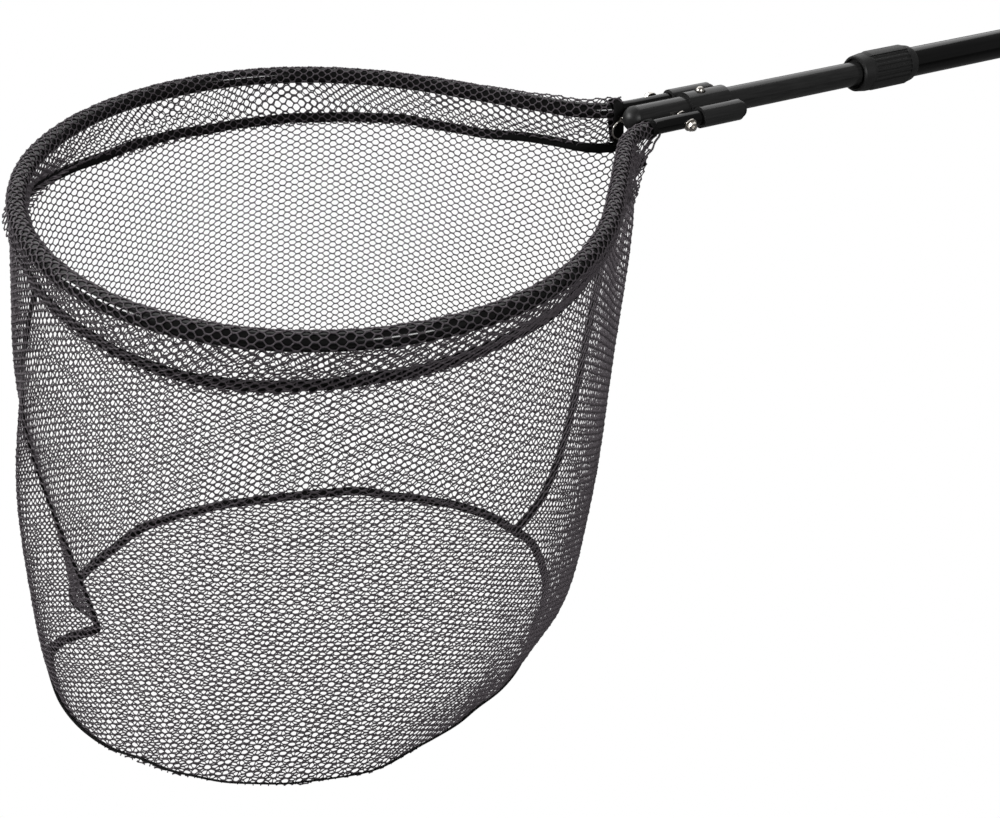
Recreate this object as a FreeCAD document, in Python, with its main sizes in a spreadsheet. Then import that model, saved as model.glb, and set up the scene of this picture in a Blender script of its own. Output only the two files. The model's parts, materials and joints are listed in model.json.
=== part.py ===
import FreeCAD, Part
import math
import os
import re

import Sketcher

# A telescopic landing net: a teardrop hoop with a deep netting bag, clamped by a triple-bore
# yoke on the inner tube of a twist-lock handle. Millimetres, +Z up. The handle lies along X
# with the butt at +X, and the origin is on the handle's axis at the middle of the hand grip.

V = FreeCAD.Vector
os.makedirs("parts", exist_ok=True)
doc = FreeCAD.newDocument("landing_net")

# ---------------------------------------------------------------- driving dimensions
# Stations along the handle are counted from a plane just ahead of the yoke: those behind it
# run towards the butt, and those in front of it towards the hoop.
DIMENSIONS = [
    ("front_plane", -660.0, "station zero, from the origin"),
    ("yoke_setback", 4.5, "yoke front face, behind station zero"),
    ("yoke_length", 38.5, "length of the yoke extrusion"),
    ("centre_lobe", 25.4, "outside diameter of the yoke's middle lobe"),
    ("side_lobe", 16.6, "outside diameter of the yoke's arm lobes"),
    ("arm_spacing", 39.6, "distance between the two arm axes"),
    ("slip_gap", 0.05, "radial clearance of a running fit"),
    ("body_gap", 0.3, "clearance between pieces that move past each other"),
    ("inner_od", 20.0, "inner handle tube, outside diameter"),
    ("outer_od", 25.0, "outer handle tube, outside diameter"),
    ("tube_wall", 1.2, "wall of both handle tubes and of the hoop tube"),
    ("inner_front", 42.0, "front end of the inner tube, in front of station zero"),
    ("inner_rear", 700.0, "rear end of the inner tube, closed up"),
    ("outer_front", 206.0, "front end of the outer tube"),
    ("outer_rear", 760.0, "rear end of the outer tube"),
    ("bush_length", 16.0, "guide bush on the inner tube's rear end"),
    ("plug_depth", 18.0, "depth of the plugs inside their tubes"),
    ("dome_height", 8.0, "front plug, height of its dome"),
    ("hoop_od", 12.0, "hoop tube, outside diameter"),
    ("sleeve_od", 13.8, "netting sleeve round the hoop, outside diameter"),
    ("arm_straight", 31.6, "straight arm in front of station zero"),
    ("bend_radius", 65.0, "tight bend of each arm"),
    ("bend_angle", 50.6, "angle of that bend, degrees"),
    ("leg_length", 100.0, "straight stretch after the bend"),
    ("shoulder_radius", 273.0, "first arc of the hoop"),
    ("shoulder_angle", 18.3, "degrees"),
    ("side_radius", 189.2, "second arc of the hoop"),
    ("side_angle", 98.9, "degrees"),
    ("sleeve_start", 42.0, "start of the netting sleeve, in front of station zero"),
    ("band_drop", 27.0, "depth of the seam tape's top edge below the hoop axis"),
    ("bag_depth", 395.0, "depth of the floor seam below the hoop axis"),
    ("net_thick", 1.5, "thickness of the netting solids"),
    ("tape_width", 8.0, "width of the tapes sewn round and down the wall"),
    ("floor_tape_width", 8.0, "width of the tape that binds the floor"),
    ("tape_thick", 1.2, "thickness of the sewn tapes"),
    ("edge_width", 8.4, "width of the edge tape at the far end of the sleeve"),
    ("near_edge_width", 5.0, "width of the edge tape at the near end"),
    ("throat_width", 28.0, "gap in the netting band between the two arms"),
    ("throat_front", 43.0, "handle-side end of the bag's mouth, in front of station zero"),
    ("bag_middle", 295.0, "axis that the bag's shape is set out from, in front of station zero"),
    ("bag_offset", 10.7, "the hanging bag leans this far towards the far side"),
    ("belly_front", 225.0, "belly of the bag, from its axis towards the handle"),
    ("belly_back", 250.0, "belly of the bag, from its axis away from the handle"),
    ("belly_half_width", 210.0, "half the belly's width"),
    ("belly_power", 1.62, "superellipse power of the belly"),
    ("belly_skew", 0.064, "sideways lean of the belly's outline"),
    ("mouth_fade", 3.06, "how fast the mouth's shape fades with depth"),
    ("slack_size", 12.0, "loose netting beside the throat stands out this far"),
    ("slack_angle", 14.9, "where it stands out most, degrees round the bag from the throat"),
    ("slack_width", 7.8, "how far it spreads round the bag, degrees"),
    ("floor_fade", 3.9, "how late the floor's shape takes over"),
    ("floor_widest", 363.6, "where the floor is widest, in front of station zero"),
    ("floor_front", 251.2, "floor, from its widest place towards the handle"),
    ("floor_back", 174.2, "floor, from its widest place away from the handle"),
    ("floor_half_width", 175.4, "half the floor's width"),
    ("front_power", 1.76, "superellipse power of the floor's handle-side half"),
    ("back_power", 1.89, "superellipse power of the floor's far half"),
    ("floor_skew", 0.083, "sideways lean of the floor's outline"),
    ("bolt_place", 8.5, "arm bolts, in front of station zero"),
    ("bolt_diameter", 4.0, "arm bolts"),
    ("bolt_tilt", 12.0, "arm bolts lean from level, degrees"),
    ("button_place", 18.8, "snap button, behind station zero"),
    ("button_diameter", 7.2, "snap button"),
    ("button_top", 16.0, "top of the button's dome, above the handle axis"),
    ("collar_front", 184.0, "front lip of the twist-lock collar"),
    ("collar_length", 62.0, "twist-lock collar"),
    ("lip_radius", 12.8, "bore of the collar's front lip"),
    ("collar_radius", 16.0, "collar over its fluted zones"),
    ("panel_height", 0.9, "raised panels on the collar"),
    ("panel_angle", 37.0, "width of each raised panel, degrees"),
    ("grip_front", 560.0, "front end of the foam grip"),
    ("grip_od", 31.0, "foam grip, outside diameter"),
    ("cap_length", 22.0, "butt cap behind the outer tube"),
    ("eye_radius", 3.0, "lanyard eye"),
    ("rivet_diameter", 3.0, "rivets of the ferrule and of the guide bush"),
    ("rivet_place", 30.0, "ferrule rivets, behind the outer tube's front end"),
    ("ring_radius", 7.6, "throat ring, to the wire's middle"),
    ("ring_wire", 1.2, "throat ring wire"),
    ("link_radius", 1.85, "small link, to the wire's middle"),
    ("link_wire", 0.9, "small link wire"),
    ("ring_place", 46.5, "rings, in front of station zero"),
    ("ring_side", 11.3, "rings, to the far side of the handle axis"),
    ("link_drop", 4.3, "middle of the small link, below the handle axis"),
]

sheet = doc.addObject("Spreadsheet::Sheet", "Dims")
for row, (alias, number, note) in enumerate(DIMENSIONS, start=1):
    sheet.set(f"A{row}", note)
    sheet.set(f"B{row}", str(number))
    sheet.setAlias(f"B{row}", alias)
doc.recompute()
WORDS = {alias for alias, _, _ in DIMENSIONS}


def dim(alias):
    """A driving dimension, as a number."""
    return float(getattr(sheet, alias))


def bound(text):
    """An expression in the sheet's words, ready for setExpression."""
    return re.sub(r"[a-z_]+", lambda word: f"Dims.{word[0]}" if word[0] in WORDS else word[0], text)


def station(text):
    """An X position counted from station zero, towards the butt."""
    return f"front_plane + {text}"


# ---------------------------------------------------------------- building blocks
nodes = {}


def keep(thing, label):
    """Names a finished sub-part, which is written to its own file."""
    thing.Label = label
    nodes[label] = thing
    return thing


def place(thing, x="0", y="0", z="0"):
    for axis, text in zip("xyz", (x, y, z)):
        thing.setExpression(f"Placement.Base.{axis}", bound(text))
    return thing


def plane(body, role):
    return next(item for item in body.Origin.OriginFeatures if item.Role == role)


def fix_point(sketch, geometry, end, across, up):
    """Ties a sketch point to the origin by two distances from the sheet."""
    for kind, text, axis in (("DistanceX", across, -2), ("DistanceY", up, -1)):
        if text == "0":
            sketch.addConstraint(Sketcher.Constraint("PointOnObject", geometry, end, axis))
        else:
            index = sketch.addConstraint(Sketcher.Constraint(kind, -1, 1, geometry, end, 1.0))
            sketch.setExpression(f"Constraints[{index}]", bound(text))


def outline(body, role, points):
    """A closed polygon sketch on one of the body's own planes."""
    sketch = body.newObject("Sketcher::SketchObject", f"{body.Name}_outline")
    sketch.AttachmentSupport = (plane(body, role), [""])
    sketch.MapMode = "FlatFace"
    count = len(points)
    start = [V(10 * math.cos(2 * math.pi * i / count), 12 + 10 * math.sin(2 * math.pi * i / count), 0)
             for i in range(count)]
    for i in range(count):
        sketch.addGeometry(Part.LineSegment(start[i], start[(i + 1) % count]), False)
    for i in range(count):
        sketch.addConstraint(Sketcher.Constraint("Coincident", i, 2, (i + 1) % count, 1))
    for i, (across, up) in enumerate(points):
        fix_point(sketch, i, 1, across, up)
    return sketch


def turned(name, points, x="0"):
    """A turned piece: its half section, from (along, radius) points, spun about X."""
    body = doc.addObject("PartDesign::Body", name)
    sketch = outline(body, "XZ_Plane", points)
    spin = body.newObject("PartDesign::Revolution", f"{name}_spin")
    spin.Profile = sketch
    spin.ReferenceAxis = (sketch, ["H_Axis"])
    spin.Angle = 360.0
    sketch.Visibility = False
    return place(body, x)


def circles(body, name, spots):
    """A sketch of circles across X, from (y, z, radius) texts."""
    sketch = body.newObject("Sketcher::SketchObject", name)
    sketch.AttachmentSupport = (plane(body, "YZ_Plane"), [""])
    sketch.MapMode = "FlatFace"
    for index, (y, z, radius) in enumerate(spots):
        sketch.addGeometry(Part.Circle(V(30 * index, 0, 0), V(0, 0, 1), 5), False)
        fix_point(sketch, index, 3, y, z)
        number = sketch.addConstraint(Sketcher.Constraint("Radius", index, 5.0))
        sketch.setExpression(f"Constraints[{number}]", bound(radius))
    return sketch


AXES = {"x": V(1, 0, 0), "y": V(0, 1, 0), "z": V(0, 0, 1)}


def along(thing, axis, tilt=0.0):
    """Turns a primitive's own Z onto a row axis, then tilts it about X by degrees."""
    turn = FreeCAD.Rotation(V(0, 0, 1), AXES[axis])
    thing.Placement = FreeCAD.Placement(V(), FreeCAD.Rotation(AXES["x"], tilt).multiply(turn))
    return thing


def cylinder(name, radius, height, axis="x", at=("0", "0", "0"), tilt=0.0):
    rod = doc.addObject("Part::Cylinder", name)
    rod.setExpression("Radius", bound(radius))
    rod.setExpression("Height", bound(height))
    return place(along(rod, axis, tilt), *at)


def joined(name, pieces):
    fuse = doc.addObject("Part::MultiFuse", name)
    fuse.Shapes = pieces
    return fuse


def cut(name, base, tool):
    result = doc.addObject("Part::Cut", name)
    result.Base = base
    result.Tool = tool
    return result


def tube(name, outside, inside, length, x):
    """A plain tube along X: outside and inside are radii."""
    body = doc.addObject("PartDesign::Body", name)
    pad = body.newObject("PartDesign::Pad", f"{name}_pad")
    pad.Profile = circles(body, f"{name}_rings", [("0", "0", outside), ("0", "0", inside)])
    pad.setExpression("Length", bound(length))
    return place(body, x)


def group(name, pieces):
    pack = doc.addObject("Part::Compound", name)
    pack.Links = pieces
    return pack


# ---------------------------------------------------------------- handle
def rivet_hole(name, axis, place_text):
    """A drill right across the handle, for a pair of rivets."""
    reach = "outer_od / 2 + 3"
    start = {"y": (station(place_text), f"-({reach})", "0"), "z": (station(place_text), "0", f"-({reach})")}
    return cylinder(name, "rivet_diameter / 2 + slip_gap", f"2 * ({reach})", axis, start[axis])


def rivet_pair(name, axis, place_text, inside, outside):
    """Two rivets that face each other across the handle, from an inside radius to an outside one."""
    pins = []
    for side, low in (("Far", inside), ("Near", f"-({outside})")):
        at = {"y": (station(place_text), low, "0"), "z": (station(place_text), "0", low)}
        pins.append(cylinder(f"{name}{side}", "rivet_diameter / 2", f"({outside}) - ({inside})", axis, at[axis]))
    return group(name, pins)


def outer_handle():
    stock = tube("OuterTube", "outer_od / 2", "outer_od / 2 - tube_wall",
                 "outer_rear - outer_front", station("outer_front"))
    keep(cut("OuterTubeDrilled", stock, rivet_hole("OuterRivetHole", "y", "outer_front + rivet_place")),
         "outer_tube")
    grip = [("0", "outer_od / 2"), ("0", "grip_od / 2 - 2"), ("3", "grip_od / 2"),
            ("18", "grip_od / 2"), ("20", "grip_od / 2 - 1.2"), ("23", "grip_od / 2 - 1.2"),
            ("25", "grip_od / 2"), ("outer_rear - grip_front - 25", "grip_od / 2"),
            ("outer_rear - grip_front - 23", "grip_od / 2 - 1.2"),
            ("outer_rear - grip_front - 20", "grip_od / 2 - 1.2"),
            ("outer_rear - grip_front - 18", "grip_od / 2"),
            ("outer_rear - grip_front - 1", "grip_od / 2"),
            ("outer_rear - grip_front", "grip_od / 2 - 1"), ("outer_rear - grip_front", "outer_od / 2")]
    keep(turned("Grip", grip, station("grip_front")), "foam_grip")
    trim = [("0", "outer_od / 2 + slip_gap"), ("0", "outer_od / 2 + 0.6"), ("4", "grip_od / 2 - 1.4"),
            ("6", "grip_od / 2 - 1.4"), ("6", "outer_od / 2 + slip_gap")]
    keep(turned("TrimRing", trim, station("grip_front - 6")), "grip_trim_ring")
    cap = [("0", "0"), ("0", "outer_od / 2 - tube_wall - slip_gap"),
           ("plug_depth", "outer_od / 2 - tube_wall - slip_gap"), ("plug_depth", "grip_od / 2 - 1"),
           ("plug_depth + 2", "grip_od / 2 - 0.3"), ("plug_depth + cap_length - 8", "grip_od / 2 - 0.8"),
           ("plug_depth + cap_length - 2", "grip_od / 2 - 3.5"),
           ("plug_depth + cap_length", "grip_od / 2 - 7"), ("plug_depth + cap_length", "0")]
    plug = turned("CapPlug", cap, station("outer_rear - plug_depth"))
    tab = doc.addObject("Part::Box", "CapTab")
    for side, text in (("Length", "12"), ("Width", "6"), ("Height", "16")):
        tab.setExpression(side, bound(text))
    place(tab, station("outer_rear + cap_length - 4"), "-3", "-8")
    tip = cylinder("CapTabTip", "8", "6", "y", (station("outer_rear + cap_length + 8"), "-3", "0"))
    eye = cylinder("CapEye", "eye_radius", "20", "y",
                   (station("outer_rear + cap_length + 8"), "-10", "0"))
    keep(cut("ButtCap", joined("CapSolid", [plug, tab, tip]), eye), "butt_cap")


def twist_lock():
    """A ferrule on the outer tube, a split collet round the inner tube, and the collar."""
    ferrule = [("0", "inner_od / 2 + 0.4"), ("0", "collar_radius - 2.6"),
               ("outer_front - 169", "collar_radius - 2.6"), ("outer_front - 169", "outer_od / 2 + slip_gap"),
               ("4 - slip_gap", "outer_od / 2 + slip_gap"), ("4 - slip_gap", "inner_od / 2 + 0.4")]
    body = turned("Ferrule", ferrule, station("outer_front - 4"))
    keep(cut("FerruleDrilled", body, rivet_hole("FerruleHole", "y", "outer_front + rivet_place")),
         "lock_ferrule")
    collet = [("0", "inner_od / 2 + slip_gap"), ("0", "inner_od / 2 + 1.6"),
              ("9", "inner_od / 2 + 3"), ("12.5", "inner_od / 2 + 3"), ("12.5", "inner_od / 2 + slip_gap")]
    jaw = turned("ColletRing", collet, station("outer_front - 16.6"))
    slot = doc.addObject("Part::Box", "ColletSlot")
    for side, text in (("Length", "14"), ("Width", "2"), ("Height", "20")):
        slot.setExpression(side, bound(text))
    place(slot, station("outer_front - 17"), "-1", "-20")
    keep(cut("Collet", jaw, slot), "grip_collet")
    wiper = [("0", "inner_od / 2 + slip_gap"), ("0", "lip_radius - slip_gap"), ("2", "lip_radius - slip_gap"),
             ("2", "inner_od / 2 + slip_gap")]
    keep(turned("Wiper", wiper, station("collar_front + 2.6")), "wiper_ring")
    keep(rivet_pair("FerruleRivets", "y", "outer_front + rivet_place", "outer_od / 2 - tube_wall",
                    "collar_radius - 2.6"), "ferrule_rivets")


def collar():
    """Fluted twist-lock collar: three smooth raised panels between three fluted zones."""
    shell = [("0", "lip_radius"), ("0", "14.2"), ("1.2", "14.9"), ("10", "collar_radius"),
             ("collar_length - 8", "collar_radius"), ("collar_length - 3", "collar_radius - 0.9"),
             ("collar_length", "collar_radius - 2.5"), ("collar_length", "outer_od / 2 + body_gap"),
             ("collar_length - 3", "outer_od / 2 + body_gap"),
             ("collar_length - 3", "collar_radius - 2.2"), ("5", "collar_radius - 2.2"), ("5", "lip_radius")]
    base = turned("CollarShell", shell, station("collar_front"))
    flutes = []
    zones, per_zone, pitch = 3, 5, 15.6
    for zone in range(zones):
        for step in range(per_zone):
            angle = 120 * zone + 60 + pitch * (step - (per_zone - 1) / 2)
            reach = dim("collar_radius") + 0.75
            flute = cylinder(f"Flute{zone}{step}", "1.7", "collar_length - 22", "x", (
                station("collar_front + 12"),
                f"{-math.sin(math.radians(angle)) * reach:.4f}",
                f"{math.cos(math.radians(angle)) * reach:.4f}"))
            flutes.append(flute)
    fluted = cut("CollarFluted", base, joined("Flutes", flutes))
    panel_length = dim("collar_length") - 17
    ramp = 3.0
    low, high = dim("collar_radius") - 0.5, dim("collar_radius") + dim("panel_height")
    side = Part.makePolygon([V(9, 0, low), V(9, 0, low + 0.5), V(9 + ramp, 0, high),
                             V(9 + panel_length - ramp, 0, high), V(9 + panel_length, 0, low + 0.5),
                             V(9 + panel_length, 0, low), V(9, 0, low)])
    panels = []
    for zone in range(zones):
        start = Part.Face(side)
        start.rotate(V(), V(1, 0, 0), 120 * zone - dim("panel_angle") / 2)
        panel = doc.addObject("Part::Feature", f"Panel{zone}")
        panel.Shape = start.revolve(V(), V(1, 0, 0), dim("panel_angle"))
        panels.append(place(panel, station("collar_front")))
    keep(joined("Collar", [fluted] + panels), "twist_collar")


def inner_handle():
    stock = tube("InnerTube", "inner_od / 2", "inner_od / 2 - tube_wall", "inner_rear + inner_front",
                 station("-inner_front"))
    hole = cylinder("TubeHole", "button_diameter / 2 + 0.1", "20", "z", (station("button_place"), "0", "0"))
    rivet_place = "inner_rear - bush_length / 2"
    holes = joined("TubeHoles", [hole, rivet_hole("TubeRivetHole", "z", rivet_place)])
    keep(cut("InnerTubeDrilled", stock, holes), "inner_tube")
    plug = turned("PlugTurned", [("0", "0"), ("0", "inner_od / 2"), ("2", "inner_od / 2"),
                                 ("2", "inner_od / 2 - tube_wall - slip_gap"),
                                 ("plug_depth", "inner_od / 2 - tube_wall - slip_gap"), ("plug_depth", "0")],
                  station("-inner_front - 2"))
    ball = doc.addObject("Part::Sphere", "PlugBall")
    # A spherical cap: base radius inner_od / 2, height dome_height
    ball.setExpression("Radius", bound("((inner_od / 2) ^ 2 + dome_height ^ 2) / (2 * dome_height)"))
    place(ball, station("-inner_front - 2 - dome_height + ((inner_od / 2) ^ 2 + dome_height ^ 2)"
                        " / (2 * dome_height)"))
    keeper = cylinder("PlugKeeper", "inner_od", "dome_height + 2", "x",
                      (station("-inner_front - 4 - dome_height"), "0", "0"))
    dome = doc.addObject("Part::Common", "PlugDome")
    dome.Base = ball
    dome.Tool = keeper
    keep(joined("FrontPlug", [plug, dome]), "front_plug")
    bush = [("0", "inner_od / 2 + slip_gap"), ("0", "outer_od / 2 - tube_wall - 0.6"),
            ("1", "outer_od / 2 - tube_wall - slip_gap"),
            ("bush_length", "outer_od / 2 - tube_wall - slip_gap"), ("bush_length", "inner_od / 2 + slip_gap")]
    ring = turned("Bush", bush, station("inner_rear - bush_length"))
    keep(cut("BushDrilled", ring, rivet_hole("BushRivetHole", "z", rivet_place)), "rear_guide_bush")
    keep(rivet_pair("BushRivets", "z", rivet_place, "inner_od / 2 - tube_wall",
                    "outer_od / 2 - tube_wall - 3 * slip_gap"), "bush_rivets")


def yoke():
    """One extrusion with three lobes side by side, bored for the handle and the two arms."""
    body = doc.addObject("PartDesign::Body", "Yoke")
    middle = body.newObject("PartDesign::Pad", "YokeMiddle")
    middle.Profile = circles(body, "YokeMiddleCircle", [("0", "0", "centre_lobe / 2")])
    middle.setExpression("Length", bound("yoke_length"))
    for name, y in (("Far", "arm_spacing / 2"), ("Near", "-arm_spacing / 2")):
        lobe = body.newObject("PartDesign::Pad", f"Yoke{name}")
        lobe.Profile = circles(body, f"Yoke{name}Circle", [(y, "0", "side_lobe / 2")])
        lobe.setExpression("Length", bound("yoke_length"))
    doc.recompute()
    solid = body.Shape.Volume
    bores = body.newObject("PartDesign::Pocket", "YokeBores")
    bores.Profile = circles(body, "YokeBoreCircles", [
        ("0", "0", "inner_od / 2 + slip_gap"), ("arm_spacing / 2", "0", "hoop_od / 2 + slip_gap"),
        ("-arm_spacing / 2", "0", "hoop_od / 2 + slip_gap")])
    bores.Type = "ThroughAll"
    bores.Reversed = True
    doc.recompute()
    assert body.Shape.Volume < 0.8 * solid, "the yoke's bores cut nothing"
    place(body, station("yoke_setback"))
    hole = cylinder("YokeHole", "button_diameter / 2 + 0.8", "20", "z",
                    (station("button_place"), "0", "0"))
    keep(cut("YokeDrilled", body, hole), "yoke")


def snap_button():
    radius = "button_diameter / 2"
    at = station("button_place")
    stem = cylinder("ButtonStem", radius, "button_top - button_diameter / 2 - 6", "z", (at, "0", "6"))
    head = doc.addObject("Part::Sphere", "ButtonHead")
    head.setExpression("Radius", bound(radius))
    place(head, at, "0", "button_top - button_diameter / 2")
    flange = cylinder("ButtonFlange", "button_diameter / 2 + 1.2", "1.8", "z", (at, "0", "5.2"))
    keep(joined("SnapButton", [stem, head, flange]), "snap_button")
    body = doc.addObject("PartDesign::Body", "ButtonSpring")
    # A folded leaf: the upper leg carries the button, the lower leg lies on the tube's floor.
    bend = [("0.1", "13.2"), ("11", "13.2"), ("38", "1.6"), ("38", "0.1"), ("0.1", "0.1"),
            ("0.1", "0.6"), ("35.5", "0.6"), ("35.5", "1.4"), ("10.8", "12.6"), ("0.1", "12.6")]
    leaf = body.newObject("PartDesign::Pad", "LeafPad")
    leaf.Profile = outline(body, "XZ_Plane", bend)
    leaf.Length = 5.0
    leaf.Midplane = True
    keep(place(body, station("button_place - 6"), "0", "-8.1"), "button_spring")


# ---------------------------------------------------------------- hoop and its hardware
def walk(steps, at, heading):
    """Edges of a level path of straight runs and tangent arcs, from (kind, size, turn) steps."""
    edges = []
    for kind, size, turn in steps:
        if kind == "run":
            end = at + V(math.cos(heading), math.sin(heading), 0) * size
            edges.append(Part.LineSegment(at, end).toShape())
        else:
            hand = 1 if turn > 0 else -1
            centre = at + V(-math.sin(heading), math.cos(heading), 0) * size * hand
            spoke = at - centre
            points = [centre + FreeCAD.Rotation(V(0, 0, 1), turn * share).multVec(spoke)
                      for share in (0.5, 1.0)]
            edges.append(Part.Arc(at, points[0], points[1]).toShape())
            end = points[1]
            heading += math.radians(turn)
        at = end
    return edges, at, heading


def hoop_wire(arm_end):
    """The hoop's centre line from arm_end on the far arm, round, to arm_end on the near arm.

    arm_end is a station in front of station zero, so a negative one is behind it.
    """
    half_gap = dim("arm_spacing") / 2
    steps = [("run", dim("arm_straight") - arm_end, 0), ("arc", dim("bend_radius"), -dim("bend_angle")),
             ("run", dim("leg_length"), 0), ("arc", dim("shoulder_radius"), dim("shoulder_angle")),
             ("arc", dim("side_radius"), dim("side_angle"))]
    if steps[0][1] <= 0:
        # The path starts inside the tight bend: shorten it by the arc already passed.
        passed = math.degrees(-steps[0][1] / dim("bend_radius"))
        turn = math.radians(passed)
        start = V(dim("front_plane") - dim("arm_straight") - dim("bend_radius") * math.sin(turn),
                  half_gap + dim("bend_radius") * (1 - math.cos(turn)), 0)
        steps = [("arc", dim("bend_radius"), passed - dim("bend_angle"))] + steps[2:]
        heading = math.pi - turn
    else:
        start = V(dim("front_plane") - arm_end, half_gap, 0)
        heading = math.pi
    edges, at, heading = walk(steps, start, heading)
    # The last arc closes the loop on the centre plane, where the tube runs square to X.
    end_radius = -at.y / math.cos(heading)
    closing, _, _ = walk([("arc", end_radius, 270 - math.degrees(heading))], at, heading)
    half = edges + closing
    other = [edge.mirror(V(), V(0, 1, 0)) for edge in reversed(half)]
    return Part.Wire(Part.__sortEdges__(half + other))


def pipe(wire, radius):
    ring = Part.Wire(Part.makeCircle(radius, wire.OrderedVertexes[0].Point, wire.OrderedEdges[0].tangentAt(
        wire.OrderedEdges[0].FirstParameter)))
    return wire.makePipeShell([ring], True, False)


def feature(label, shape):
    """A free-form sub-part, made with Part's own functions."""
    thing = doc.addObject("Part::Feature", label.title().replace("_", ""))
    thing.Shape = shape
    thing.Placement = FreeCAD.Placement(V(), FreeCAD.Rotation())
    return keep(thing, label)


def bolt_axis():
    tilt = FreeCAD.Rotation(V(1, 0, 0), dim("bolt_tilt"))
    return tilt.multVec(V(0, 1, 0))


def hoop():
    arm_rear = -dim("yoke_setback") - dim("yoke_length")
    centre = hoop_wire(arm_rear)
    outer = pipe(centre, dim("hoop_od") / 2)
    inner = pipe(centre, dim("hoop_od") / 2 - dim("tube_wall"))
    shape = outer.cut(inner)
    for side in (1, -1):
        base = V(dim("front_plane") - dim("bolt_place"), side * dim("arm_spacing") / 2, 0)
        shape = shape.cut(Part.makeCylinder(dim("bolt_diameter") / 2 + 0.15, 30, base - bolt_axis() * 15,
                                            bolt_axis()))
    feature("hoop_tube", shape)
    wire = hoop_wire(dim("sleeve_start"))
    sleeve = pipe(wire, dim("sleeve_od") / 2).cut(pipe(wire, dim("hoop_od") / 2 + 0.2))
    feature("hoop_netting_sleeve", sleeve)


def on_both_arms(label, make):
    """Two equal solids, one per arm, each made from its outward direction along the bolt."""
    solids = []
    for side in (1, -1):
        middle = V(dim("front_plane") - dim("bolt_place"), side * dim("arm_spacing") / 2, 0)
        solids.append(make(middle, bolt_axis() * side))
    feature(label, Part.makeCompound(solids))


def hexagon_rod(middle, outward, start, length, across):
    """A hexagonal prism across flats, from start along outward."""
    radius = across / math.sqrt(3)
    side = outward.cross(V(1, 0, 0)).normalize()
    corners = []
    for step in range(7):
        angle = math.radians(60 * step)
        corners.append(middle + outward * start + V(1, 0, 0) * radius * math.cos(angle)
                       + side * radius * math.sin(angle))
    return Part.Face(Part.makePolygon(corners)).extrude(outward * length)


def arm_hardware():
    skin = dim("hoop_od") / 2
    washer, shank = 0.8, dim("bolt_diameter") / 2

    def bolt(middle, out):
        head_base = middle - out * (skin + washer)
        head = Part.makeCone(3.6, 2.4, 2.0, head_base, -out)
        rod = Part.makeCylinder(shank, 2 * skin + 2 * washer + 5.4, head_base, out)
        return head.fuse(rod).removeSplitter()

    def washers(middle, out):
        rings = []
        for radius, start in ((5.2, skin), (4.4, -skin - washer)):
            disc = Part.makeCylinder(radius, washer, middle + out * start, out)
            rings.append(disc.cut(Part.makeCylinder(shank + 0.1, washer, middle + out * start, out)))
        return Part.makeCompound(rings)

    def nut(middle, out):
        start = skin + washer
        block = hexagon_rod(middle, out, start, 3.2, 7.0)
        dome = Part.makeCone(3.5, 2.7, 1.4, middle + out * (start + 3.2), out)
        hole = Part.makeCylinder(shank + 0.02, 6, middle + out * start, out)
        return block.fuse(dome).cut(hole).removeSplitter()

    on_both_arms("arm_bolts", bolt)
    on_both_arms("arm_washers", washers)
    on_both_arms("arm_nuts", nut)
    plugs = []
    for side in (1, -1):
        seat = V(dim("front_plane") + dim("yoke_setback") + dim("yoke_length"), side * dim("arm_spacing") / 2, 0)
        shank_rod = Part.makeCylinder(dim("hoop_od") / 2 - dim("tube_wall") - 0.05, 14, seat - V(14, 0, 0),
                                      V(1, 0, 0))
        head = Part.makeCylinder(6.7, 5.2, seat, V(1, 0, 0))
        rim = [edge for edge in head.Edges if abs(edge.BoundBox.XMin - seat.x - 5.2) < 1e-6]
        plugs.append(head.makeFillet(3.0, rim[:1]).fuse(shank_rod).removeSplitter())
    feature("arm_plugs", Part.makeCompound(plugs))


def throat_rings():
    """A small link beside the front plug, and the ring that swings from it."""
    x, y, link_z = dim("front_plane") - dim("ring_place"), dim("ring_side"), -dim("link_drop")
    link = Part.makeTorus(dim("link_radius"), dim("link_wire") / 2, V(x, y, link_z), V(1, 0, 0))
    feature("throat_link", link)
    clear = dim("link_radius") - dim("link_wire") / 2 - dim("ring_wire") / 2 - dim("body_gap")
    middle = link_z - clear - dim("ring_radius")
    ring = Part.makeTorus(dim("ring_radius"), dim("ring_wire") / 2, V(x, y, middle), V(0, 1, 0))
    feature("throat_ring", ring)
    return V(x, y, link_z - dim("link_radius")), V(x, y, middle)


# ---------------------------------------------------------------- bag
SAMPLES = 56
TURN = 2 * math.pi
BAG_X = dim("front_plane") - dim("bag_middle")


def polar(points):
    """(angle, radius) of level points round the bag's axis, by rising angle."""
    return sorted((math.atan2(point.y, point.x - BAG_X) % TURN, math.hypot(point.y, point.x - BAG_X))
                  for point in points)


def egg(widest, front, back, half_width, powers, skew):
    """A leaning egg of two half superellipses that meet where it is widest, as (angle, radius)."""
    points = []
    for step in range(360):
        angle = math.radians(step + 0.5)
        reach, power = (front, powers[0]) if math.cos(angle) > 0 else (back, powers[1])
        radius = ((abs(math.cos(angle)) / reach) ** power
                  + (abs(math.sin(angle)) / half_width) ** power) ** (-1 / power)
        side = radius * math.sin(angle)
        points.append(V(dim("front_plane") - widest + radius * math.cos(angle) - skew * side,
                        dim("bag_offset") + side, 0))
    return polar(points)


def radius_on(profile, angle):
    """The radius of an (angle, radius) outline at any angle."""
    last, first = profile[-1], profile[0]
    ring = [(last[0] - TURN, last[1])] + profile + [(first[0] + TURN, first[1])]
    for (low, near), (high, far) in zip(ring, ring[1:]):
        if low <= angle <= high:
            return near + (far - near) * (angle - low) / (high - low)
    raise ValueError(f"no outline at {angle}")


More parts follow.
